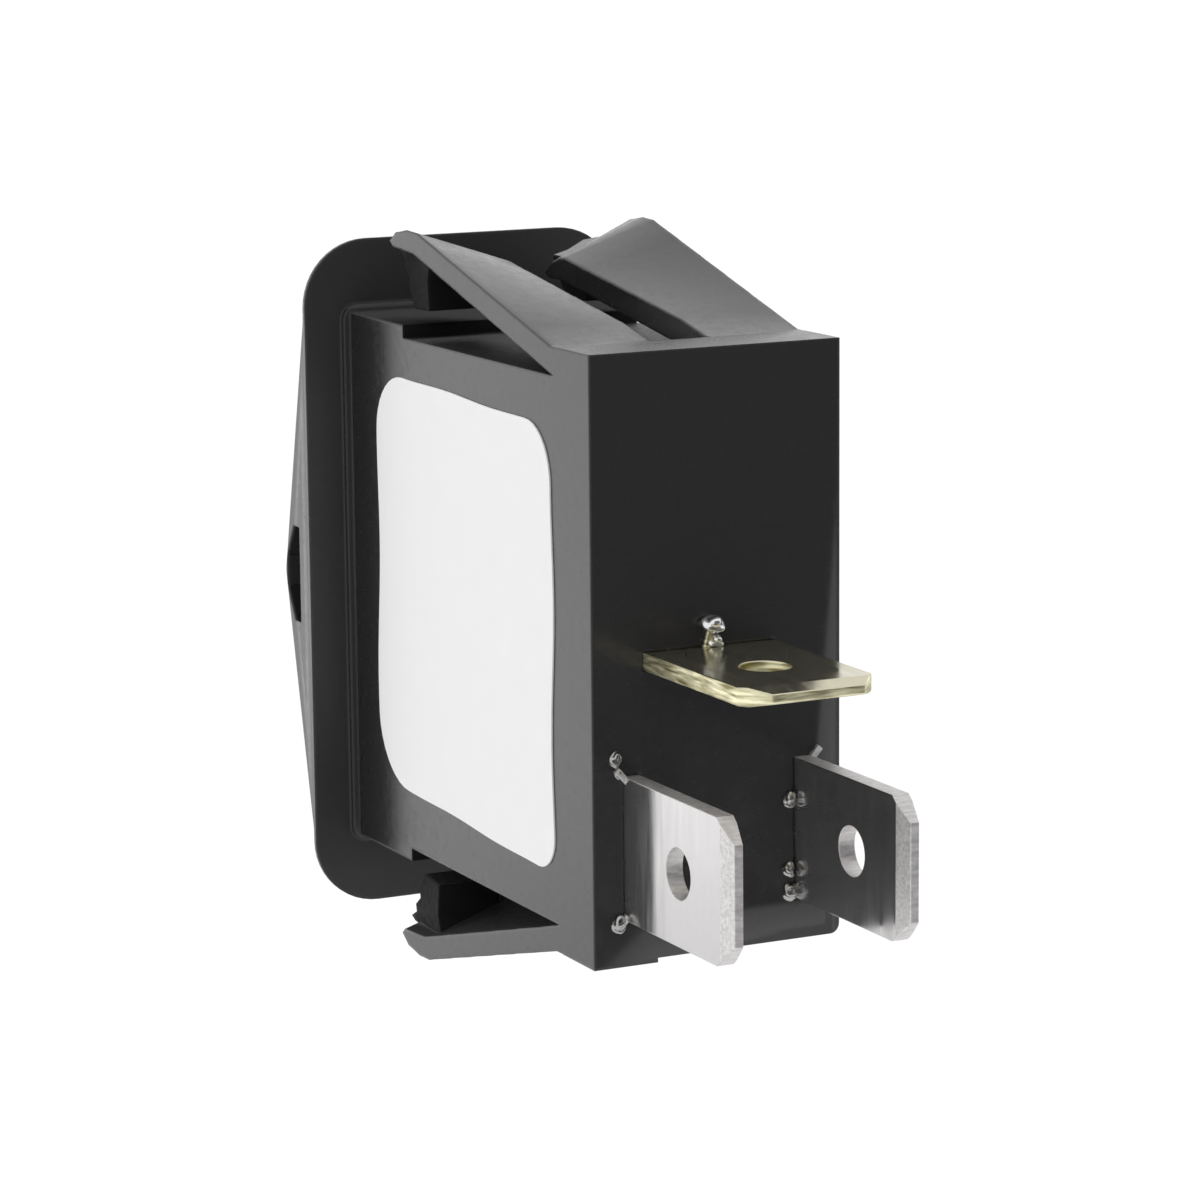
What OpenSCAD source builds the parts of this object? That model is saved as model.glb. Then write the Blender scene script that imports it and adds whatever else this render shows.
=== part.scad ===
// Panel rocker switch with a lamp: one moulded case that snaps into a panel cut-out,
// a rocker that tips a see-saw contact, and three push-on terminals at the back.
// Millimetres. The origin is the middle of the face that seats on the panel.
// +Y runs through the panel to the terminals, +Z runs along the tall side of the bezel.

/* [Bezel] */
// Width of the bezel
bezel_w = 16.4; // [15.6:0.1:18]
// Height of the bezel
bezel_h = 32; // [31:0.5:36]
// Corner radius of the bezel
bezel_corner_r = 3.2; // [2:0.1:4]
// Thickness of the flat rim at the short ends
rim_t = 0.45; // [0.3:0.05:0.8]
// Depth of the arched front at its middle
crown_d = 3.35; // [2.5:0.05:4]
// Radius that rounds the ridge of the arched front
ridge_r = 1.5; // [1:0.1:2]

/* [Case] */
// Width of the case across the short side
case_w = 12; // [12:0.1:12.6]
// Height of the case between the wings
case_h = 24; // [24:0.1:24.6]
// Depth of the case behind the panel seat
case_d = 25.6; // [25.6:0.1:27]
// Height of the shoulder that fills the panel cut-out
shoulder_h = 25.2; // [25:0.1:25.6]
// Depth of that shoulder
shoulder_d = 6.4; // [5:0.1:6.6]
// Height of the solid block that the wings spring from
root_h = 26.5; // [26:0.1:27]
// Thickness of the side walls
wall = 1.1; // [1:0.05:1.2]
// Thickness of the rear wall
rear_wall = 1.6; // [1.6:0.1:2.5]

/* [Snap wings] */
// Height of each wing tip above the middle of the case
wing_tip_z = 16.95; // [16.5:0.05:17.2]
// Drop of the wing from its outer edge to its channel edge, at the tip
wing_drop = 1.9; // [1.5:0.1:2]
// Width of the channel between two wings
channel_w = 2.8; // [2.6:0.1:3.4]
// How far the stepped nose is set in from the side of the case
nose_inset = 0.3; // [0.2:0.05:0.5]

/* [Rocker] */
// Tilt of the rocker each side of level
tilt = 8.5; // [7:0.5:8.5]
// Half width of the rocker
rocker_half_w = 4.75; // [4.6:0.05:4.75]
// Radius of the rocker's two ends about its pivot
rocker_end_r = 11.3; // [11:0.05:11.35]
// Slope of each half of the rocker's face
face_slope = 4.5; // [3:0.5:5]
// Height of the ridge of the rocker's face above the bezel's ridge
ridge_proud = 0.9; // [0.6:0.1:1.2]
// Radius of the rocker's trunnions
trunnion_r = 1.5; // [1.2:0.05:1.5]

/* [Terminals] */
// Width of each push-on tab
tab_w = 6.3; // [4.8:0.1:6.3]
// Thickness of each tab
tab_t = 0.8; // [0.5:0.1:0.8]
// Length of each tab behind the case
tab_l = 9.6; // [8:0.1:10]
// Diameter of the hole in each tab
tab_hole_d = 2.2; // [1.6:0.1:2.4]
// Distance from the hole's centre to the tab's tip
tab_hole_from_tip = 4.6; // [3.6:0.1:4.8]
// Distance of the two silver tabs from the middle plane
tab_x = 4.15; // [4:0.05:4.2]
// Height of the middle of the silver tabs
tab_z = -8.04; // [-8.04:0.02:-7.9]
// Sideways place of the brass tab
lamp_tab_x = 0.4; // [0:0.1:0.6]

/* [Hidden] */
$fn = 48;
fine = 32;          // facets of rounds inside a hull
gap = 0.03;         // clearance of pieces that slot into the case
running = 0.05;     // radial clearance of pieces that turn or slide
through = 1;        // how far a cutter runs past the face that it cuts

half_w = case_w / 2;
cavity_half_w = half_w - wall;
mouth_half_h = rocker_end_r + 0.2;          // the cavity's height where the rocker swings
well_half_h = case_h / 2 - 1;               // and its height behind the rocker
well_y = 5;                                 // where the cavity narrows
floor_y = case_d - rear_wall;               // inner face of the rear wall
pivot_y = 1.6;                              // the rocker's axis, behind the panel seat
channel_x = channel_w / 2;
hinge_y = 21.9;                             // where a wing starts to rise from its root
twist_y = 20.5;                             // where it starts to twist
wing_tip_y = 5.1;                           // front end of a wing at its outer edge
wing_skew = 1;                              // how much shorter its channel edge is
wing_t = 1;                                 // thickness of a wing near its tip
wing_steps = 6;                             // lengths that its twisted faces are drawn in
root_y = 22.5;                              // front face of the solid root block

ridge_y = -crown_d - ridge_proud - pivot_y; // the rocker's ridge, from its pivot
skin = 1.2;                                 // wall thickness of the rocker
skirt_y = 2.9;                              // rear edge of the rocker's skirt, from its pivot
sleeve_r = 2.4;
sleeve_y = 11.4;                            // open end of the plunger's sleeve
spring_y = 4.6;                             // blind end of the sleeve's bore
plunger_r = 1.6;
plunger_back = 8.6;                         // shoulder that the spring bears on
tip_r = 1.2;
tip_y = 16.6;                               // centre of the plunger's round tip

lever_y = 20.3;                             // axis that the see-saw contact rocks on
lever_t = 0.7;
bead_r = 0.8;
// The cradle is the curve that the plunger's tip follows over the lever as both tilt,
// set back by the tip's radius and a hair of clearance.
cradle_path_r = 4.46;
cradle_r = cradle_path_r + tip_r + gap;
cradle_y = tip_y + pivot_y - lever_y - cradle_path_r;
cradle_half_h = 2.9;
arm_y = cradle_y + sqrt(pow(cradle_r, 2) - pow(cradle_half_h, 2));
stem_half_w = 1.7;
bar_half_w = 4.2;
bar_half_h = 1.25;
contact_x = 2.9;
contact_z = -7.6;
contact_r = 1.2;
shank_r = 0.7;
dome_r = 3;
strike_y = floor_y - tab_t - 1.4;           // face of the fixed contacts
dome_y = (strike_y - gap - lever_y - dome_r + contact_z * sin(tilt)) / cos(tilt);

foot_y = floor_y - tab_t;                   // front face of the feet on the rear wall
tab_end_y = case_d + tab_l;
lamp_z = 7.2;
bulb_r = 1.6;
bulb_y = 19;                                // base of the bulb
wire_r = 0.25;
lead_x = 0.6;                               // of the bulb's two leads, each side of its middle
lead_y = 21.5;                              // where the load lead runs across and down
resistor_x = -3.6;
resistor_z = [1.6, 5];
lead_end_z = -5.9;                          // where the load lead meets the load terminal's foot

// ---- Drawing helpers ----

// Extrudes an outline drawn as [Y, Z] along X, across the middle plane.
module across(w) {
    rotate([90, 0, 90]) linear_extrude(w, center = true) children();
}

// Extrudes an outline drawn as [X, Z] from y0 to y1.
module along(y0, y1) {
    translate([0, y1, 0]) rotate([90, 0, 0]) linear_extrude(y1 - y0) children();
}

module rounded_rect(w, h, r) {
    square([w - 2 * r, h], center = true);
    square([w, h - 2 * r], center = true);
    for (x = [-1, 1], z = [-1, 1])
        translate([x * (w / 2 - r), z * (h / 2 - r)]) circle(r);
}

// A box given by its two corners.
module block(low, high) {
    translate(low) cube(high - low);
}

// A round rod along X, Y or Z, from one point to another along that axis.
module rod_y(x, z, r, y0, y1) {
    translate([x, y0, z]) rotate([-90, 0, 0]) cylinder(r = r, h = y1 - y0);
}

module rod_x(y, z, r, x0, x1) {
    translate([x0, y, z]) rotate([0, 90, 0]) cylinder(r = r, h = x1 - x0);
}

// Joins outlines, drawn as [Y, Z] with as many points each, at each x in turn by straight facets.
module loft(outlines, xs) {
    n = len(outlines[0]);
    last = len(xs) - 1;
    polyhedron(
        points = [for (k = [0 : last], p = outlines[k]) [xs[k], p[0], p[1]]],
        faces = [
            [for (i = [0 : n - 1]) i],
            [for (i = [n - 1 : -1 : 0]) last * n + i],
            for (k = [0 : last - 1], i = [0 : n - 1]) each [
                [k * n + (i + 1) % n, k * n + i, (k + 1) * n + i],
                [k * n + (i + 1) % n, (k + 1) * n + i, (k + 1) * n + (i + 1) % n]
            ]
        ]);
}

module at_rocker() {
    translate([0, pivot_y, 0]) rotate([tilt, 0, 0]) children();
}

module at_lever() {
    translate([0, lever_y, 0]) rotate([-tilt, 0, 0]) children();
}

// Local Z runs up the upper half of the rocker's face, local Y into the rocker.
module at_face() {
    at_rocker() translate([0, ridge_y, 0]) rotate([-face_slope, 0, 0]) children();
}

// ---- The moulded housing ----

module rim() {
    edge = 0.2;
    hull() for (x = [-1, 1], z = [-1, 1])
        translate([x * (bezel_w / 2 - bezel_corner_r), 0, z * (bezel_h / 2 - bezel_corner_r)])
            rotate([90, 0, 0]) {
                translate([0, 0, -through])
                    cylinder(r = bezel_corner_r, h = through + rim_t - edge);
                cylinder(r = bezel_corner_r - edge, h = rim_t);
            }
}

module crown() {
    edge = 0.35;
    foot_z = bezel_h / 2 - bezel_corner_r;
    foot_r = rim_t + edge;
    side = bezel_w / 2;
    hull() {
        rod_x(ridge_r - crown_d, 0, ridge_r, edge - side, side - edge, $fn = fine);
        rod_x(ridge_r - crown_d, 0, ridge_r - edge, -side, side, $fn = fine);
        for (z = [-foot_z, foot_z]) {
            rod_x(edge, z, foot_r, edge - side, side - edge, $fn = fine);
            rod_x(edge, z, foot_r - edge, -side, side, $fn = fine);
        }
    }
}

// A shallow pocket in each side of the crown, closed by a thin wall along the ridged front.
module side_pockets() {
    depth = 0.8;
    half_h = [2.3, 0.7];        // of its long rear edge and its short front edge
    y = [-1.25, -1.95, -2.85];  // rear edge, front of its ends, front of its middle
    for (side = [-1, 1]) mirror([side < 0 ? 1 : 0, 0, 0])
        translate([bezel_w / 2 - depth / 2 + through / 2, 0, 0]) across(depth + through)
            polygon([[y[0], half_h[0]], [y[1], half_h[0]], [y[2], half_h[1]],
                [y[2], -half_h[1]], [y[1], -half_h[0]], [y[0], -half_h[0]]]);
}

module bezel() {
    difference() {
        union() {
            rim();
            crown();
        }
        block([-bezel_w, 0, -bezel_h], [bezel_w, crown_d, bezel_h]);
    }
}

module case_shell() {
    plinth = 0.35;
    plinth_d = 0.3;
    plinth_r = 0.75;
    along(-rim_t / 2, case_d) square([case_w, case_h], center = true);
    along(-rim_t / 2, shoulder_d) square([case_w, shoulder_h], center = true);
    along(-rim_t / 2, plinth_d)
        rounded_rect(case_w + 2 * plinth, shoulder_h + 2 * plinth, plinth_r);
    along(root_y, case_d) square([case_w, root_h], center = true);
}

// Side outline of a wing at x: a thin skin that rises from the root and is turned in at its tip.
// It twists, so its channel edge rises less than its outer edge does, and stops shorter.
function wing_outline(x) =
    let (root_z = root_h / 2, crest_y = 8.2, under_y = 7.7, under_z = wing_tip_z - wing_t,
        heel = [root_y + 0.8, case_h / 2 - 0.3],
        inward = (half_w - x) / (half_w - channel_x),
        tip_y = wing_tip_y + inward * wing_skew,
        skin = concat(
            [[root_y + 0.9, root_z - 0.3], [root_y + 0.2, root_z - 0.02]],
            steps([hinge_y, root_z], [crest_y, wing_tip_z]),
            [[wing_tip_y + 2 + inward * wing_skew / 2, wing_tip_z + 0.05], [tip_y + 0.7, wing_tip_z - 0.15],
                [tip_y, wing_tip_z - 0.6], [tip_y + 0.3, wing_tip_z - 0.85]],
            steps([under_y, under_z], heel)))
    [for (p = skin) [p[0], p[1] - inward * wing_drop * max(0, twist_y - p[0]) / (twist_y - wing_tip_y)]];

// Points that part the line from one point to another into short equal lengths.
function steps(from, to) = [for (i = [0 : wing_steps]) from + (to - from) * i / wing_steps];

// One wing, above and on the +X side. The stepped nose under it has teeth that catch
// the panel's rear edge.
module wing() {
    sections = 5;
    low = channel_x - through;
    high = half_w + through;
    xs = [for (k = [0 : sections]) low + (high - low) * k / sections];
    intersection() {
        loft([for (x = xs) wing_outline(x)], xs);
        block([channel_x, 0, 0], [half_w, root_y + 0.5, bezel_h]);
    }
    wing_nose();
}

// The nose narrows towards the bezel, and its top follows the twist of the wing over it.
module wing_nose() {
    inner_x = channel_x + 1;
    rear_x = half_w - nose_inset;
    front_x = rear_x - 0.6;
    y = [4, 10];
    foot_z = 13.3;
    top_z = wing_tip_z - 0.75;
    top_fall = 0.5 * wing_drop;
    intersection() {
        across(case_w) polygon([[5.6, top_z], [4.25, top_z - 0.4], [5, top_z - 0.75],
            [4.9, top_z - 1.1], [5.6, top_z - 1.55], [5.5, top_z - 2], [6.4, foot_z],
            [8.4, foot_z + 0.1], [8.2, top_z - 1.4], [8.8, top_z]]);
        along(y[0], y[1]) polygon([[inner_x, foot_z - 1], [half_w, foot_z - 1], [half_w, top_z],
            [rear_x, top_z], [inner_x, top_z - top_fall]]);
        translate([0, 0, foot_z - 1]) linear_extrude(wing_tip_z - foot_z)
            polygon([[inner_x, y[0]], [front_x, y[0]], [rear_x, y[1]], [inner_x, y[1]]]);
    }
}

// The ramp that closes the channel at its rear end.
module channel_end() {
    across(channel_w + 0.5) polygon([[20, 11.8], [22.3, 12.95], [23, 12.95], [23, 11.8]]);
}

// Where the tabs leave the case: slots with a hair of clearance.
module tab_slots() {
    tall = tab_w / 2 + gap;
    thick = tab_t / 2 + gap;
    for (x = [-tab_x, tab_x])
        block([x - thick, floor_y - through, tab_z - tall], [x + thick, case_d + through, tab_z + tall]);
    block([lamp_tab_x - tall, floor_y - through, -thick], [lamp_tab_x + tall, case_d + through, thick]);
}

module housing() color("#1d1d1f") {
    relief = 0.2;           // under the rear edge, from the -X side
    relief_end_x = 2.95;
    corner_r = 0.45;        // of the rear edge's corner on that side
    corner = [corner_r - half_w, relief + corner_r - root_h / 2];
    socket_d = 0.75;
    difference() {
        union() {
            bezel();
            case_shell();
            for (side = [0, 1], end = [0, 1])
                mirror([side, 0, 0]) mirror([0, 0, end]) {
                    wing();
                    if (side == 0) channel_end();
                }
        }
        side_pockets();
        block([-cavity_half_w, -crown_d - through, -mouth_half_h], [cavity_half_w, well_y, mouth_half_h]);
        block([-cavity_half_w, 0, -well_half_h], [cavity_half_w, floor_y, well_half_h]);
        for (side = [-1, 1])
            rod_x(pivot_y, 0, trunnion_r + running, min(0, side * (cavity_half_w + socket_d)),
                max(0, side * (cavity_half_w + socket_d)));
        block([-half_w - through, root_y + 0.3, -root_h / 2 - through],
            [relief_end_x, case_d + through, relief - root_h / 2]);
        difference() {
            block([-half_w - through, root_y + 0.3, -root_h / 2], [corner[0], case_d + through, corner[1]]);
            rod_y(corner[0], corner[1], corner_r, root_y, case_d + 2 * through);
        }
        tab_slots();
    }
}

module label() color("white") {
    label_y = [2.8, 21.8];
    label_z = [-9.9, 10.1];
    label_r = 2.8;
    label_t = 0.1;
    w = label_y[1] - label_y[0];
    h = label_z[1] - label_z[0];
    translate([half_w + label_t / 2, (label_y[0] + label_y[1]) / 2, (label_z[0] + label_z[1]) / 2])
        across(label_t) rounded_rect(w, h, label_r);
}

// ---- The rocker and what rides on it ----

// The rocker's side outline: a shallow ridged face between two round ends.
module rocker_outline(inset) {
    reach = rocker_end_r + through;
    front = ridge_y + inset / cos(face_slope);
    rise = reach * tan(face_slope);
    intersection() {
        circle(rocker_end_r - inset, $fn = 96);
        polygon([[front + rise, -reach], [front, 0], [front + rise, reach],
            [skirt_y + inset, reach], [skirt_y + inset, -reach]]);
    }
}

module lens_window(grow, front, back) {
    window_half_w = 2.4;
    window_z = [5.2, 8.4];
    block([-window_half_w - grow, front, window_z[0] - grow], [window_half_w + grow, back, window_z[1] + grow]);
}

module rocker() color("#1a1a1c") {
    inner_half_w = rocker_half_w - skin;
    trunnion_l = 0.85;
    rib_t = 1;
    difference() {
        at_rocker() {
            difference() {
                across(2 * rocker_half_w) rocker_outline(0);
                across(2 * inner_half_w) rocker_outline(skin);
            }
            rod_y(0, 0, sleeve_r, ridge_y + skin / 2, sleeve_y);
            block([-inner_half_w - skin / 2, ridge_y + skin, -rib_t / 2],
                [inner_half_w + skin / 2, skirt_y, rib_t / 2]);
            for (side = [-1, 1])
                rod_x(0, 0, trunnion_r, min(side * inner_half_w, side * (rocker_half_w + trunnion_l)),
                    max(side * inner_half_w, side * (rocker_half_w + trunnion_l)));
        }
        at_rocker() rod_y(0, 0, plunger_r + running, spring_y, sleeve_y + through);
        at_face() lens_window(gap, -through, skin);
    }
}

module lens() color("#b8281c") {
    proud = 0.15;
    flange = 0.6;
    flange_t = 0.8;
    at_face() {
        lens_window(0, -proud, skin);
        lens_window(flange, skin, skin + flange_t);
    }
}

module plunger() color("ivory") at_rocker() rotate([-90, 0, 0]) {
    spigot_r = 0.8;
    spigot_l = 1.2;
    neck_y = tip_y - 2.2;
    translate([0, 0, plunger_back - spigot_l]) cylinder(r = spigot_r, h = spigot_l + through);
    translate([0, 0, plunger_back]) cylinder(r = plunger_r, h = neck_y - plunger_back);
    translate([0, 0, neck_y]) cylinder(r1 = plunger_r, r2 = tip_r - running, h = tip_y - neck_y);
    translate([0, 0, tip_y]) sphere(tip_r);
}

// Distance along the spring at a turn: close-wound end turns, open ones between.
function spring_rise(turn, turns, length, wire) =
    turn < 1 ? turn * wire
    : turn > turns - 1 ? length - (turns - turn) * wire
    : wire + (turn - 1) * (length - 2 * wire) / (turns - 2);

module plunger_spring() color("silver") {
    wire = 0.36;
    coil_r = 1.25;
    turns = 6;
    steps = 16;
    sides = 8;
    seat = 0.02;
    length = plunger_back - spring_y - wire - 2 * seat;
    rings = turns * steps;
    at_rocker() rotate([-90, 0, 0]) translate([0, 0, spring_y + seat + wire / 2])
        polyhedron(
            points = [for (i = [0 : rings], s = [0 : sides - 1])
                let (t = 360 * i / steps, a = 360 * s / sides, r = coil_r + wire / 2 * cos(a))
                [r * cos(t), r * sin(t),
                    spring_rise(i / steps, turns, length, wire * 1.02) + wire / 2 * sin(a)]],
            faces = [
                [for (s = [0 : sides - 1]) s],
                [for (s = [sides - 1 : -1 : 0]) rings * sides + s],
                for (i = [0 : rings - 1], s = [0 : sides - 1])
                    let (next = (s + 1) % sides)
                    each [
                        [i * sides + next, i * sides + s, (i + 1) * sides + s],
                        [i * sides + next, (i + 1) * sides + s, (i + 1) * sides + next]
                    ]
            ]);
}

// ---- The see-saw contact ----

// Side outline of the lever: flat arms, a round cradle for the plunger and a bead behind it.
module lever_outline() {
    top = 4.6;
    foot = contact_z - bar_half_h;
    difference() {
        union() {
            translate([arm_y, foot]) square([lever_t, top - foot]);
            intersection() {
                translate([cradle_y, 0]) circle(cradle_r + lever_t, $fn = 160);
                translate([arm_y, -cradle_half_h]) square([-arm_y, 2 * cradle_half_h]);
            }
            circle(bead_r);
        }
        translate([cradle_y, 0]) circle(cradle_r, $fn = 160);
    }
}

module contact_lever() color("#b87333") at_lever() difference() {
    union() {
        across(2 * stem_half_w) lever_outline();
        block([-bar_half_w, arm_y, contact_z - bar_half_h], [bar_half_w, arm_y + lever_t, contact_z + bar_half_h]);
    }
    for (x = [-contact_x, contact_x])
        rod_y(x, contact_z, shank_r + gap / 3, arm_y - through, arm_y + lever_t + through);
}

// A silver rivet: a shank through the lever and a domed head behind it.
module moving_contact(x) color("silver") at_lever() translate([x, 0, contact_z]) {
    rod_y(0, 0, shank_r, arm_y, arm_y + lever_t + 0.1);
    intersection() {
        rod_y(0, 0, contact_r, arm_y + lever_t, dome_y + dome_r);
        translate([0, dome_y, 0]) sphere(dome_r, $fn = 96);
    }
}

module moving_contact_line() moving_contact(contact_x);

module moving_contact_load() moving_contact(-contact_x);

module fulcrum_block() color("#3a3a3d") {
    half_w_block = 1.9;
    half_h_block = 1.6;
    front_y = 20.6;
    difference() {
        block([-half_w_block, front_y, -half_h_block], [half_w_block, floor_y, half_h_block]);
        rod_x(lever_y, 0, bead_r + running, -half_w - through, half_w + through);
        block([-half_w, foot_y, -tab_t / 2 - gap], [half_w, floor_y + through, half_h_block + through]);
    }
}

// ---- Terminals ----

// A push-on blade drawn along +Y and lying in the XZ plane's Z = 0: chamfered corners,
// a hole, and a tip that is thinned so that it enters a receptacle.
module blade() {
    corner = [1.2, 1];
    bevel_l = 0.9;
    bevel_t = tab_t / 4;
    w = tab_w / 2;
    t = tab_t / 2;
    difference() {
        intersection() {
            translate([0, 0, -t]) linear_extrude(tab_t)
                polygon([[-w, floor_y], [w, floor_y], [w, tab_end_y - corner[0]], [w - corner[1], tab_end_y],
                    [corner[1] - w, tab_end_y], [-w, tab_end_y - corner[0]]]);
            across(tab_w + 2) polygon([[floor_y, -t], [tab_end_y - bevel_l, -t], [tab_end_y, -t + bevel_t],
                [tab_end_y, t - bevel_t], [tab_end_y - bevel_l, t], [floor_y, t]]);
        }
        translate([0, tab_end_y - tab_hole_from_tip, -t - through]) cylinder(d = tab_hole_d, h = tab_t + 2 * through);
    }
}

// Small ears bent out of a blade after it is pushed in, which lock it against the rear face:
// one up from the middle of its flat, or one out from a corner.
ear_t = 0.25;
ear_root = tab_t / 2 - 0.1;

module middle_ear() {
    root_half_w = 0.4;
    end_half_w = 0.15;
    h = 0.8;
    along(case_d, case_d + ear_t) polygon([[-root_half_w, ear_root], [root_half_w, ear_root],
        [end_half_w, tab_t / 2 + h], [-end_half_w, tab_t / 2 + h]]);
}

module corner_ear() {
    reach = [0.45, 0.3];
    root_w = 0.4;
    end_w = 0.2;
    w = tab_w / 2;
    along(case_d, case_d + ear_t) polygon([[w - root_w, ear_root], [w, ear_root],
        [w + reach[0], tab_t / 2 + reach[1]], [w + reach[0] - end_w, tab_t / 2 + reach[1] + end_w]]);
}

// A silver terminal on one side: its blade stands upright and its foot turns inwards.
module power_terminal(side) color("silver") difference() {
    neck = tab_w / 2 - 0.6;
    foot_half_h = 2;
    union() {
        translate([side * tab_x, 0, tab_z]) rotate([0, side * 90, 0]) {
            blade();
            for (edge = [0, 1]) mirror([edge, 0, 0]) corner_ear();
        }
        block([min(side * (tab_x - tab_t / 2), side * (tab_x + tab_t / 2)), foot_y, tab_z - neck],
            [max(side * (tab_x - tab_t / 2), side * (tab_x + tab_t / 2)), floor_y, tab_z + neck]);
        block([min(side * 1.6, side * tab_x), foot_y, contact_z - foot_half_h],
            [max(side * 1.6, side * tab_x), floor_y, contact_z + foot_half_h]);
    }
    rod_y(side * contact_x, contact_z, shank_r + gap / 3, foot_y - through, floor_y + through);
}

module terminal_line() power_terminal(1);

module terminal_load() power_terminal(-1);

// The brass terminal lies flat and its foot turns up the rear wall to the lamp.
module terminal_lamp() color("#b5a642") {
    foot_half_w = 2.3;
    foot_top = lamp_z + 2.2;
    translate([lamp_tab_x, 0, 0]) {
        blade();
        middle_ear();
    }
    block([-foot_half_w, foot_y, -tab_t / 2], [foot_half_w, floor_y, foot_top]);
}

// A silver rivet through the terminal's foot, with a flat head.
module fixed_contact(x) color("silver") {
    rod_y(x, contact_z, shank_r, foot_y - 0.1, floor_y);
    rod_y(x, contact_z, contact_r, strike_y, foot_y);
}

module fixed_contact_line() fixed_contact(contact_x);

module fixed_contact_load() fixed_contact(-contact_x);

// ---- The lamp circuit ----

module lamp_holder() color("#d8d2c4") {
    holder_r = 2.2;
    cup_y = 17.5;
    difference() {
        rod_y(0, lamp_z, holder_r, cup_y, foot_y);
        rod_y(0, lamp_z, bulb_r + running, cup_y - through, bulb_y);
        rod_y(lead_x, lamp_z, wire_r + running, bulb_y - through, foot_y + through);
        rod_y(-lead_x, lamp_z, wire_r + running, bulb_y - through, lead_y + wire_r);
        rod_x(lead_y, lamp_z, wire_r + 2 * running, -holder_r - through, -lead_x + wire_r);
    }
}

module lamp_bulb() color("#e8b890") {
    dome_y = 10.5 + bulb_r;
    rod_y(0, lamp_z, bulb_r, dome_y, bulb_y);
    translate([0, dome_y, lamp_z]) sphere(bulb_r);
}

module lamp_lead_earth() color("silver") rod_y(lead_x, lamp_z, wire_r, bulb_y, foot_y);

// The resistor is threaded on the load lead, which runs on to the load terminal.
module resistor() color("tan") {
    body_r = 0.85;
    difference() {
        lead_down(body_r, resistor_z[1], resistor_z[0]);
        lead_down(wire_r + gap / 3, resistor_z[1] + through, resistor_z[0] - through);
    }
}

module lead_down(r, top, bottom) {
    translate([resistor_x, lead_y, bottom]) cylinder(r = r, h = top - bottom);
}

module lamp_lead_load() color("silver") {
    rod_y(-lead_x, lamp_z, wire_r, bulb_y, lead_y);
    rod_x(lead_y, lamp_z, wire_r, resistor_x, -lead_x);
    lead_down(wire_r, lamp_z, lead_end_z);
    rod_y(resistor_x, lead_end_z, wire_r, lead_y, foot_y);
    for (bend = [[-lead_x, lamp_z], [resistor_x, lamp_z], [resistor_x, lead_end_z]])
        translate([bend[0], lead_y, bend[1]]) sphere(wire_r + running);
}

housing();
label();
rocker();
lens();
plunger();
plunger_spring();
contact_lever();
moving_contact_line();
moving_contact_load();
fulcrum_block();
terminal_line();
terminal_load();
terminal_lamp();
fixed_contact_line();
fixed_contact_load();
lamp_holder();
lamp_bulb();
resistor();
lamp_lead_earth();
lamp_lead_load();
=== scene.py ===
"""Panel rocker switch with a lamp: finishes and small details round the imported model."""

import math

import bmesh
import bpy
from mathutils import Matrix, Vector
from mathutils.bvhtree import BVHTree


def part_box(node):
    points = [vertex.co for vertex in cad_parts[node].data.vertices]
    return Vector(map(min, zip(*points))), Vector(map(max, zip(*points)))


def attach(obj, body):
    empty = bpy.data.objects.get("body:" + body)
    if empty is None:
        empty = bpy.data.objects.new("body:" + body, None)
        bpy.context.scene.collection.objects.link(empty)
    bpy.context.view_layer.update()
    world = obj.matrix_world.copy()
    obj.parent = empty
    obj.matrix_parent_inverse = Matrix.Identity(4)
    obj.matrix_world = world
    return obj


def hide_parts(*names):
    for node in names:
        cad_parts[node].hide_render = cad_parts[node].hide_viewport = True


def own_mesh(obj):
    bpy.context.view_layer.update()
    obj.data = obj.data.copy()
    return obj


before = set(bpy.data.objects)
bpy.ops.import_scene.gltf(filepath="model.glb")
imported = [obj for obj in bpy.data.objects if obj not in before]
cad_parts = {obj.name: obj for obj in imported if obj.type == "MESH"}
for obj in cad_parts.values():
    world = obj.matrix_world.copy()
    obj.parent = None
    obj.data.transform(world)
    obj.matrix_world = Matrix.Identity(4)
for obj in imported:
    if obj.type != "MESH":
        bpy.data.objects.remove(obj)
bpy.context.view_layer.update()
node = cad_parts
MM = 0.001


# ---- Housing ----
# One moulding in black glass-filled nylon: arched bezel, deep case and four snap wings.
# The mould leaves a fine satin skin on the broad walls. The bezel's back and the hollows under
# the wings keep the coarser skin of the spark-eroded mould. The toothed noses are painted darker
# and almost without gloss, as painted shade.

def new_material(name, colour, metallic, sockets=()):
    """A Principled material with its plain numbers on the shader's own sockets."""
    material = bpy.data.materials.new(name)
    material.use_nodes = True
    shader = material.node_tree.nodes["Principled BSDF"]
    shader.inputs["Base Color"].default_value = (*colour, 1)
    shader.inputs["Metallic"].default_value = metallic
    for socket, value in dict(sockets).items():
        shader.inputs[socket].default_value = value
    return material


def grain(material, size, low, high, stretch=(1, 1, 1), detail=3):
    """A fine noise over the piece, from low to high, for its roughness; size is one grain."""
    nodes, links = material.node_tree.nodes, material.node_tree.links
    place = nodes.new("ShaderNodeTexCoord")
    spread = nodes.new("ShaderNodeMapping")
    spread.inputs["Scale"].default_value = stretch
    noise = nodes.new("ShaderNodeTexNoise")
    noise.inputs["Scale"].default_value = 1 / size
    noise.inputs["Detail"].default_value = detail
    span = nodes.new("ShaderNodeMapRange")
    for socket, value in zip(("From Min", "From Max", "To Min", "To Max"), (0.3, 0.7, low, high)):
        span.inputs[socket].default_value = value
    links.new(place.outputs["Object"], spread.inputs["Vector"])
    links.new(spread.outputs["Vector"], noise.inputs["Vector"])
    links.new(noise.outputs["Fac"], span.inputs["Value"])
    links.new(span.outputs["Result"], nodes["Principled BSDF"].inputs["Roughness"])
    return noise


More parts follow.
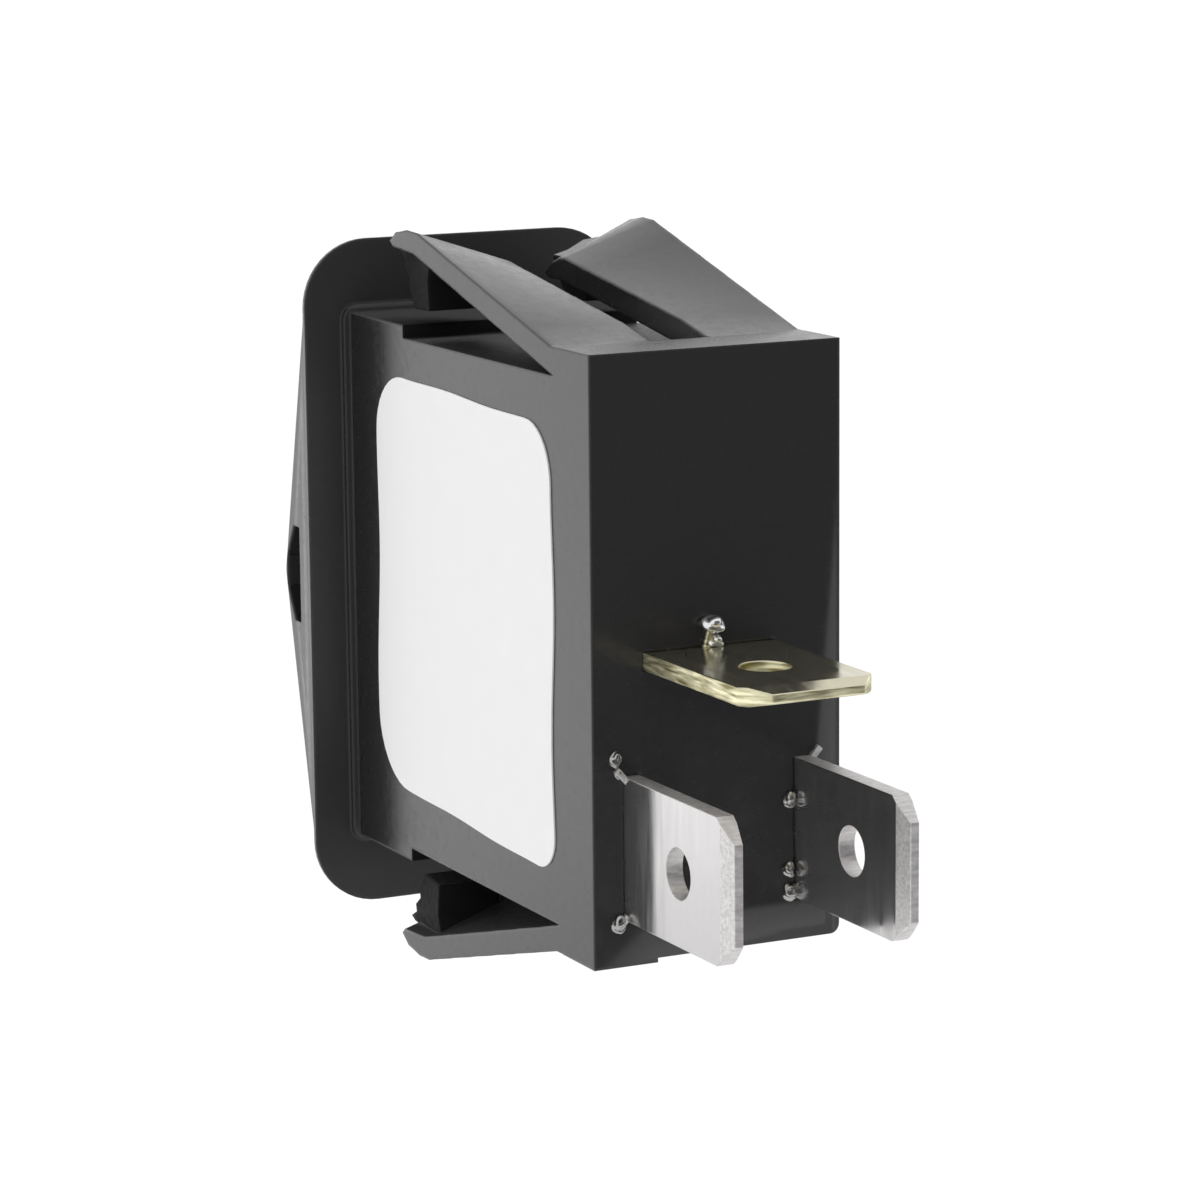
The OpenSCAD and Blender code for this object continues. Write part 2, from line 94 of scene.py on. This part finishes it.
def bump(material, noise, depth, edge=None):
    """Relief from a noise; edge softens the piece's sharp corners by that radius."""
    nodes, links = material.node_tree.nodes, material.node_tree.links
    relief = nodes.new("ShaderNodeBump")
    relief.inputs["Distance"].default_value = depth
    links.new(noise.outputs["Fac"], relief.inputs["Height"])
    links.new(relief.outputs["Normal"], nodes["Principled BSDF"].inputs["Normal"])
    if edge:
        corner = nodes.new("ShaderNodeBevel")
        corner.samples = 6
        corner.inputs["Radius"].default_value = edge
        links.new(corner.outputs["Normal"], relief.inputs["Normal"])


def new_piece(name, shape, finishes, body):
    """Turns a finished shape into a piece that rides on a body, with its finishes."""
    mesh = bpy.data.meshes.new(name)
    shape.to_mesh(mesh)
    shape.free()
    for finish in finishes:
        mesh.materials.append(finish)
    piece = bpy.data.objects.new(name, mesh)
    bpy.context.scene.collection.objects.link(piece)
    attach(piece, body)
    return piece


weld = 0.0005 * MM                  # corners closer than this are one
flat_angle = math.radians(0.2)      # faces that meet this flat are one
sharp_angle = math.radians(24)      # and those that meet sharper than this have an edge


def rounded_copy(name, piece_name, radius, body, finishes, which=lambda centre, normal: 0):
    """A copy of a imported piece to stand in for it, with its corners rounded if radius says so.

    which(centre, normal), in millimetres, gives the place in finishes of each face's own finish.
    """
    shape = bmesh.new()
    shape.from_mesh(node[name].data)
    bmesh.ops.remove_doubles(shape, verts=shape.verts, dist=weld)
    bmesh.ops.dissolve_limit(shape, angle_limit=flat_angle, verts=shape.verts, edges=shape.edges)
    bmesh.ops.dissolve_degenerate(shape, edges=shape.edges, dist=weld)
    shape.normal_update()
    for face in shape.faces:
        face.smooth = True
        face.material_index = which(face.calc_center_median() / MM, face.normal)
    piece = new_piece(piece_name, shape, finishes, body)
    piece.data.set_sharp_from_angle(angle=sharp_angle)
    if radius:
        rounding = piece.modifiers.new("rounded_corners", "BEVEL")
        rounding.width = radius
        rounding.segments = 2
        rounding.limit_method = "ANGLE"
        rounding.angle_limit = sharp_angle
        rounding.miter_outer = "MITER_ARC"
        flat = piece.modifiers.new("flat_faces", "WEIGHTED_NORMAL")
        flat.keep_sharp = True
        flat.weight = 100
    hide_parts(name)
    return piece


polished, eroded, painted_shade_skin = range(3)
bezel_back_y = 0.6                      # only the bezel looks back from in front of this
hollow_front_y, hollow_end_y = 0.2, 21  # the hollows under the wings, from the bezel on
shelf_z, wing_foot_z = 11.9, 13.3       # the floor of a hollow and the foot of a nose
nose_end_y, nose_side_x = 8.6, 5.7      # the rear and the outer side of a nose


def mould_skin(centre, normal):
    """The skin of a face; outward is 1 where it looks straight away from the case's middle."""
    outward = normal.z * math.copysign(1, centre.z)
    if normal.y > 0.9 and centre.y < bezel_back_y:
        return eroded
    if abs(centre.z) < shelf_z or not hollow_front_y < centre.y < hollow_end_y:
        return polished
    if outward < -0.85 or (outward > 0.97 and abs(centre.z) < wing_foot_z):
        return eroded
    # The toothed noses in the hollows under the wings take the darker, nearly glossless nylon:
    # painted shade.
    if outward < 0.3 and centre.y < nose_end_y and abs(centre.x) < nose_side_x:
        return painted_shade_skin
    return polished


black_nylon = new_material("black_nylon", (0.015, 0.015, 0.016), 0, {"Specular IOR Level": 0.55})
bump(black_nylon, grain(black_nylon, 0.5 * MM, 0.21, 0.28, detail=2), 0.0006 * MM, edge=0.2 * MM)
eroded_nylon = new_material("eroded_nylon", (0.021, 0.021, 0.022), 0)
bump(eroded_nylon, grain(eroded_nylon, 0.3 * MM, 0.42, 0.56), 0.001 * MM, edge=0.2 * MM)
# A darker copy of the nylon with almost no gloss: painted shade on the noses under the wings.
painted_shade_nylon = new_material("painted_shade_nylon", (0.011, 0.011, 0.012), 0, {"Specular IOR Level": 0.06})
bump(painted_shade_nylon, grain(painted_shade_nylon, 0.3 * MM, 0.55, 0.7), 0.001 * MM, edge=0.2 * MM)
rounded_copy("housing", "moulding", 0, "case",
             (black_nylon, eroded_nylon, painted_shade_nylon), mould_skin)


# ---- Label ----
# A blank white film, cut with rounded corners and stuck by hand on the +X side of the case.
# It is matt, and its cut edges waver a little.

def rounded_outline(corners, step):
    """Points at most about step apart round four corners, each (y, z, radius), anticlockwise."""
    middle_y, middle_z = (sum(corner[axis] for corner in corners) / 4 for axis in range(2))
    arc_steps = 9
    arcs = []
    for index, (y, z, radius) in enumerate(corners):
        arc_y = y + math.copysign(radius, middle_y - y)
        arc_z = z + math.copysign(radius, middle_z - z)
        for turn in range(arc_steps + 1):
            angle = math.radians(90) * (index - 2 + turn / arc_steps)
            arcs.append((arc_y + radius * math.cos(angle), arc_z + radius * math.sin(angle)))
    points = []
    for (y, z), (next_y, next_z) in zip(arcs, arcs[1:] + arcs[:1]):
        parts = max(1, round(math.hypot(next_y - y, next_z - z) / step))
        points += [(y + (next_y - y) * part / parts, z + (next_z - z) * part / parts)
                   for part in range(parts)]
    return points


def join_rings(shape, rings):
    """Faces between each ring of corners and the next."""
    for ring, beside in zip(rings, rings[1:]):
        for index in range(len(ring)):
            after = (index + 1) % len(ring)
            shape.faces.new((ring[index], ring[after], beside[after], beside[index]))


def thin_sheet(outline, low, high, place):
    """A sheet between two heights; place(u, v, height) puts its outline on its surface."""
    shape = bmesh.new()
    rings = [[shape.verts.new(place(u, v, height)) for u, v in outline] for height in (low, high)]
    shape.faces.new(rings[1])
    shape.faces.new(list(reversed(rings[0])))
    join_rings(shape, rings)
    bmesh.ops.recalc_face_normals(shape, faces=shape.faces)
    return shape


def on_side_wall(y, z, height):
    """The point at (y, z) of the wall that the label is stuck to, raised by height."""
    return (label_x + height, y * MM, z * MM)


film_white = new_material("label_film", (0.79, 0.79, 0.79), 0)
bump(film_white, grain(film_white, 1.5 * MM, 0.45, 0.6), 0.01 * MM)
label_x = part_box("label")[0][0]
film_thickness = 0.07 * MM
film_corners = ((3.1, -9.2, 3.1), (21.8, -9.8, 1.6), (21.95, 9.85, 2.6), (3.45, 10.2, 2.8))
film_outline = [(y + 0.13 * math.sin(0.55 * z + 0.6), z + 0.04 * math.sin(0.7 * y))
                for y, z in rounded_outline(film_corners, 0.4)]
film = new_piece("film", thin_sheet(film_outline, 0, film_thickness, on_side_wall),
                 (film_white,), "case")
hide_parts("label")


# ---- Silver terminals ----
# Two upright push-on blades of tinned brass strip, pushed through the rear wall.
# Rolling leaves faint streaks along each blade, and its sheared edges are rougher and paler.

def shade(material, noise, dark, pale):
    """Colour that wanders between dark and pale with a noise."""
    nodes, links = material.node_tree.nodes, material.node_tree.links
    ramp = nodes.new("ShaderNodeValToRGB")
    for stop, place, colour in zip(ramp.color_ramp.elements, (0.35, 0.65), (dark, pale)):
        stop.position = place
        stop.color = (*colour, 1)
    links.new(noise.outputs["Fac"], ramp.inputs["Fac"])
    links.new(ramp.outputs["Color"], nodes["Principled BSDF"].inputs["Base Color"])


def silver_edge(centre, normal):
    """1 for the sheared and coined edges of an upright blade, 0 for its rolled faces."""
    return int(abs(normal.x) < 0.995 and centre.y > blade_start_y)


blade_start_y = 25.7
blade_corner = 0.08 * MM
tin = new_material("tin_plate", (0.53, 0.52, 0.52), 0.92)
bump(tin, grain(tin, 0.5 * MM, 0.09, 0.24, stretch=(1, 1, 0.1)), 0.0005 * MM)
sheared_tin = new_material("sheared_tin", (0.66, 0.64, 0.64), 0.85)
tin_tears = grain(sheared_tin, 0.14 * MM, 0.4, 0.6, stretch=(0.3, 1, 1))
bump(sheared_tin, tin_tears, 0.003 * MM)
shade(sheared_tin, tin_tears, (0.56, 0.54, 0.54), (0.76, 0.74, 0.74))
for name, piece_name in (("terminal_line", "line_tab"), ("terminal_load", "load_tab")):
    rounded_copy(name, piece_name, blade_corner, "case", (tin, sheared_tin),
                 silver_edge)


# ---- Brass terminal ----
# The lamp's blade, bare rolled brass, which lies flat across the middle of the rear wall.
# Its edges are sheared in long tears and catch the light.

def brass_edge(centre, normal):
    """1 for the sheared edges of the flat blade, 0 for its rolled faces."""
    return int(abs(normal.z) < 0.3 and centre.y > blade_start_y)


brass = new_material("rolled_brass", (0.6, 0.57, 0.42), 0.94)
bump(brass, grain(brass, 0.5 * MM, 0.1, 0.24, stretch=(1, 0.12, 1)), 0.0005 * MM)
sheared_brass = new_material("sheared_brass", (0.61, 0.57, 0.37), 0.85)
brass_tears = grain(sheared_brass, 0.2 * MM, 0.3, 0.55, stretch=(0.12, 0.12, 1))
bump(sheared_brass, brass_tears, 0.012 * MM)
shade(sheared_brass, brass_tears, (0.22, 0.19, 0.07), (1.0, 0.96, 0.68))
rounded_copy("terminal_lamp", "lamp_tab", blade_corner, "case", (brass, sheared_brass),
             brass_edge)


# ---- Staking ----
# Small bright burrs where the blades were staked into the rear wall, and a bead of solder
# on the brass blade's ear. Each is a lump of its own shape.

rear_wall_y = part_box("housing")[1][1] / MM
sunk_y = rear_wall_y - 0.02         # how deep a lump sits in the wall


def lump(name, middle, reach, turn, material):
    """A lumpy drop, in millimetres, flattened where it sits; turn gives it its own waves."""
    shape = bmesh.new()
    bmesh.ops.create_icosphere(shape, subdivisions=4, radius=1)
    for vertex in shape.verts:
        x, y, z = vertex.co
        swell = 1 + 0.18 * math.sin(2.3 * x + turn) * math.cos(2.9 * z - turn)
        swell += 0.14 * math.sin(5.1 * y + 4.7 * z + turn)
        spot = [start + size * swell * side for start, size, side in zip(middle, reach, (x, y, z))]
        spot[1] = max(spot[1], sunk_y)
        vertex.co = Vector(spot) * MM
    for face in shape.faces:
        face.smooth = True
    new_piece(name, shape, (material,), "case")


solder = new_material("solder", (0.75, 0.75, 0.75), 0.95)
grain(solder, 0.2 * MM, 0.06, 0.2)
lump("solder_bead", (0.36, 25.95, 1.4), (0.5, 0.45, 0.4), 0.5, solder)
lump("ear_foot", (0.2, 25.75, 0.62), (0.34, 0.4, 0.3), 1.3, solder)
burr_metal = new_material("burr_metal", (0.4, 0.4, 0.39), 1)
grain(burr_metal, 0.15 * MM, 0.08, 0.3)
burrs = ((-3.5, -6.8, 0.32), (-3.45, -9.9, 0.3), (-3.5, -10.9, 0.36),
         (4.95, -4.1, 0.3), (4.8, -4.75, 0.22), (4.85, -11.35, 0.34))    # x, z and size
for index, (x, z, size) in enumerate(burrs):
    lump(f"burr_{index + 1}", (x, rear_wall_y + 0.06, z), (0.9 * size, 0.8 * size, 1.1 * size),
         2.1 + 1.3 * index, burr_metal)


# ---- Inner metal ----
# The copper see-saw lever, silver rivets, lamp wires and the coil spring behind the plunger.
# All are small stampings or drawn wire, bright and bare. The spring rides on the rocker.

def finish_node(name, material):
    """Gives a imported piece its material."""
    node[name].data.materials.clear()
    node[name].data.materials.append(material)


copper = new_material("rolled_copper", (0.78, 0.42, 0.26), 1)
grain(copper, 0.5 * MM, 0.2, 0.35, stretch=(1, 1, 0.12))
finish_node("contact_lever", copper)
silver = new_material("contact_silver", (0.88, 0.87, 0.84), 1)
grain(silver, 0.2 * MM, 0.1, 0.25)
for name in ("moving_contact_line", "moving_contact_load",
             "fixed_contact_line", "fixed_contact_load"):
    finish_node(name, silver)
for name in ("lamp_lead_earth", "lamp_lead_load"):
    finish_node(name, tin)
wire = new_material("spring_wire", (0.6, 0.6, 0.6), 1)
grain(wire, 0.1 * MM, 0.25, 0.4)
spring = rounded_copy("plunger_spring", "spring_coil", 0, "rocker", (wire,))
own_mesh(spring)


# ---- Inner plastic ----
# The plunger, the lever's fulcrum and the lamp's holder, moulded in pale heat-proof plastic.
# They are small and never seen from outside, so their skin is plain and a little rough.

pale_plastic = new_material("pale_plastic", (0.72, 0.66, 0.52), 0)
grain(pale_plastic, 0.3 * MM, 0.4, 0.55)
for name in ("plunger", "fulcrum_block", "lamp_holder"):
    finish_node(name, pale_plastic)


# ---- Rocker ----
# The part that the finger tips: one black moulding, smoother than the bezel. It turns on two
# pins that sit in sockets in the sides of the housing, and its edges are softly rounded.

rocker_black = new_material("rocker_black", (0.015, 0.015, 0.016), 0)
bump(rocker_black, grain(rocker_black, 0.4 * MM, 0.16, 0.26), 0.001 * MM, edge=0.2 * MM)
finish_node("rocker", rocker_black)


# ---- Marks on the rocker ----
# A plain stroke for on and a ring for off, printed in white on the two halves of the rocker.
# The ink stands a hair above the plastic.

rocker_mesh = node["rocker"].data
rocker_skin = BVHTree.FromPolygons([vertex.co for vertex in rocker_mesh.vertices],
                                   [face.vertices for face in rocker_mesh.polygons])
before_rocker_y = -0.05
ink_points = 48


def ink_outline(middle_z, radius, half_length=0, first=0):
    """Points round a circle, or round a stroke with round ends, as (x, z) in millimetres."""
    angles = [math.tau * (step + first) / ink_points for step in range(ink_points)]
    return [(radius * math.cos(angle),
             middle_z + math.copysign(half_length, math.sin(angle)) + radius * math.sin(angle))
            for angle in angles]


def on_rocker(x, z, height):
    """The point of the rocker's front face behind (x, z), raised by height."""
    start = Vector((x * MM, before_rocker_y, z * MM))
    hit, normal, *rest = rocker_skin.ray_cast(start, Vector((0, 1, 0)))
    return hit + normal * height


ink = new_material("white_ink", (0.78, 0.78, 0.76), 0)
grain(ink, 0.2 * MM, 0.35, 0.5)
ink_low, ink_high = -0.01 * MM, 0.015 * MM

stroke = ink_outline(1.75, 0.2, half_length=1.0, first=0.5)
new_piece("on_mark", thin_sheet(stroke, ink_low, ink_high, on_rocker), (ink,),
          "rocker")

ring_z, ring_outer_r, ring_inner_r = -6.2, 1.45, 1.09
ring = bmesh.new()
ring_section = ((ring_outer_r, ink_low), (ring_outer_r, ink_high),
                (ring_inner_r, ink_high), (ring_inner_r, ink_low))
rings = [[ring.verts.new(on_rocker(x, z, height)) for x, z in ink_outline(ring_z, radius)]
         for radius, height in ring_section]
join_rings(ring, rings + rings[:1])
bmesh.ops.recalc_face_normals(ring, faces=ring.faces)
new_piece("off_mark", ring, (ink,), "rocker")


# ---- Lens and lamp ----
# A red window in the upper half of the rocker, moulded in clear plastic with a faint ripple.
# Behind it are the small glass lamp and its lacquered resistor.

lens_red = new_material("lens_red", (0.42, 0.004, 0.006), 0, {"Transmission Weight": 0.45})
lens_ripple = grain(lens_red, 0.35 * MM, 0.08, 0.18, stretch=(1, 1, 0.15))
bump(lens_red, lens_ripple, 0.01 * MM, edge=0.15 * MM)
finish_node("lens", lens_red)
lamp_glass = new_material("lamp_glass", (0.95, 0.85, 0.75), 0, {"Transmission Weight": 0.95})
grain(lamp_glass, 0.5 * MM, 0.02, 0.08)
finish_node("lamp_bulb", lamp_glass)
lacquer = new_material("resistor_lacquer", (0.62, 0.5, 0.34), 0)
grain(lacquer, 0.3 * MM, 0.25, 0.4)
finish_node("resistor", lacquer)


# ---- Studio ----
# A pale floor, a white surround, soft lamps and the camera. The gloss of the black plastic
# shows only what stands round it, so two dark cards and two bright ones shape its tones.

world = bpy.data.worlds.new("studio")
bpy.context.scene.world = world
world.use_nodes = True
world.node_tree.nodes["Background"].inputs["Color"].default_value = (1, 1, 1, 1)
world.node_tree.nodes["Background"].inputs["Strength"].default_value = 1.04

floor_size, floor_z = 6, -0.05
bpy.ops.mesh.primitive_plane_add(size=floor_size, location=(0, 0, floor_z))
floor = bpy.context.object
floor.name = "floor"
floor.data.materials.append(new_material("floor_white", (0.99, 0.99, 0.99), 0, {"Roughness": 0.8}))

centre = Vector((0, 0.011, 0))


def card(name, place, width, height, strength, lights_matt=False):
    """A studio card that gloss reflects, but that isn't in view and throws no shadow."""
    bpy.ops.mesh.primitive_plane_add(size=1)
    sheet = bpy.context.object
    sheet.name = name
    sheet.scale = (width, height, 1)
    sheet.location = place
    sheet.rotation_euler = (centre - Vector(place)).to_track_quat("-Z", "Y").to_euler()
    paint = bpy.data.materials.new(name)
    paint.use_nodes = True
    tree = paint.node_tree
    tree.nodes.remove(tree.nodes["Principled BSDF"])
    glow = tree.nodes.new("ShaderNodeEmission")
    glow.inputs["Color"].default_value = (1, 1, 1, 1)
    glow.inputs["Strength"].default_value = strength
    tree.links.new(glow.outputs["Emission"], tree.nodes["Material Output"].inputs["Surface"])
    sheet.data.materials.append(paint)
    sheet.visible_camera = False
    sheet.visible_diffuse = lights_matt
    sheet.visible_shadow = False


card("black_flag", (-0.045, 0.115, -0.012), 0.28, 0.13, 0.16)
card("black_flag_top", (-0.05, 0.21, 0.12), 0.34, 0.18, 0.05)
card("side_box", (0.068, -0.125, -0.002), 0.12, 0.095, 1.5, lights_matt=True)
card("top_box", (-0.08, -0.14, 0.14), 0.24, 0.20, 1.0)

# The camera stands behind the switch, to its +X side and a little above.
yaw, rise, roll = (math.radians(angle) for angle in (25.9, 10.4, -0.63))
camera_distance = 0.192
back = Vector((math.sin(yaw) * math.cos(rise), math.cos(yaw) * math.cos(rise), math.sin(rise)))
right = Vector((-math.cos(yaw), math.sin(yaw), 0))
up = back.cross(right)
turn = Matrix((right * math.cos(roll) + up * math.sin(roll),
               up * math.cos(roll) - right * math.sin(roll), back)).transposed()
optics = bpy.data.cameras.new("camera")
optics.sensor_width = 36
optics.lens = 125.5
optics.shift_x = 0.0269
optics.shift_y = 0.0003
optics.clip_start = 0.01
camera = bpy.data.objects.new("camera", optics)
bpy.context.scene.collection.objects.link(camera)
camera.matrix_world = Matrix.Translation(centre + back * camera_distance) @ turn.to_4x4()
bpy.context.scene.camera = camera
bpy.context.scene.view_settings.view_transform = "Standard"
